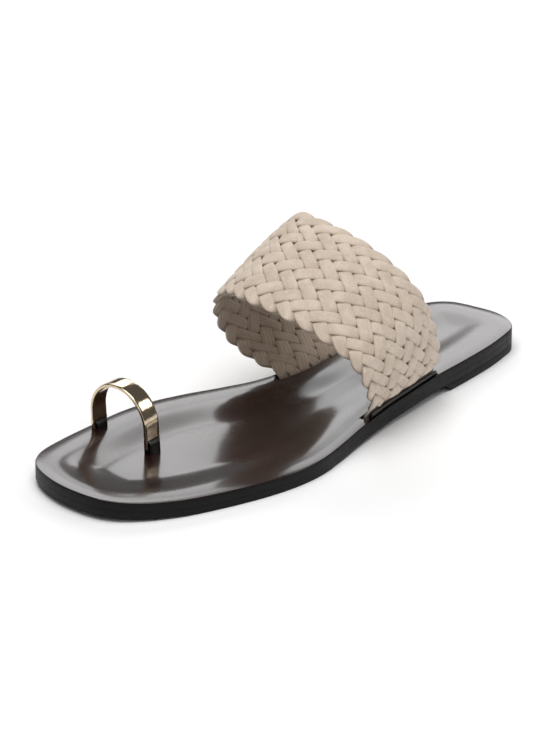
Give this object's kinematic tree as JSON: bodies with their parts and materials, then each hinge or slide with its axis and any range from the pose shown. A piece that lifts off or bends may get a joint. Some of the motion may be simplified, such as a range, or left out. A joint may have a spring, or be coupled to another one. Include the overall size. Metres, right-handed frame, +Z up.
{
  "type": "slide sandal",
  "caption": "Flat leather slide sandal with a wide braided strap over the instep, a metal toe ring and a low heel lift.",
  "frame": {"origin": "on the floor under the middle of the sandal's bounding box", "axes": "+Y towards the heel, +X towards the outer side of the foot, +Z up"},
  "size_m": [0.0935, 0.2549, 0.082],
  "materials": {
    "outsole": "smooth black edge with a satin sheen",
    "footbed": "glossy polished leather, slightly uneven",
    "strand": "soft matt leather strands, finely grained",
    "tab": "satin leather",
    "ring": "polished, pale gold",
    "loop": "satin leather"
  },
  "bodies": {
    "root": {"outsole": "outsole", "heel_lift": "outsole", "footbed": "footbed", "strap": "strand", "strap_tab_lateral": "tab", "strap_tab_medial": "tab", "toe_ring": "ring", "toe_loop_lateral": "loop", "toe_loop_medial": "loop"}
  },
  "joints": []
}
